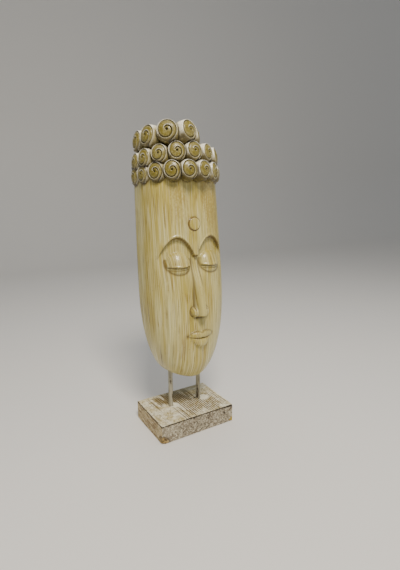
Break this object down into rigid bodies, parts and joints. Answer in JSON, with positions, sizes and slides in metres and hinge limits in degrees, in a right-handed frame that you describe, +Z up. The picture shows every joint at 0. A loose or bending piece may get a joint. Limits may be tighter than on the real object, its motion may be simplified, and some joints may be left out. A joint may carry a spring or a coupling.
{
  "type": "buddha mask",
  "caption": "Tall carved wooden Buddha mask with spiral hair curls, hollow at the back, standing on dowels over a small wooden plinth.",
  "frame": {"origin": "middle of the plinth's underside", "axes": "+Z up, the face looks along -Y, +X to the right of someone who faces the mask"},
  "size_m": [0.1419, 0.1126, 0.4943],
  "materials": {
    "mask_wood": "whitewashed and ochre-stained carved wood, satin varnish",
    "dowel_wood": "worn grey-green wash over brown wood",
    "plinth_wood": "rough-sawn wood with a worn white wash"
  },
  "bodies": {
    "root": {"mask": "mask_wood", "left_dowel": "dowel_wood", "right_dowel": "dowel_wood", "plinth": "plinth_wood"}
  },
  "joints": []
}
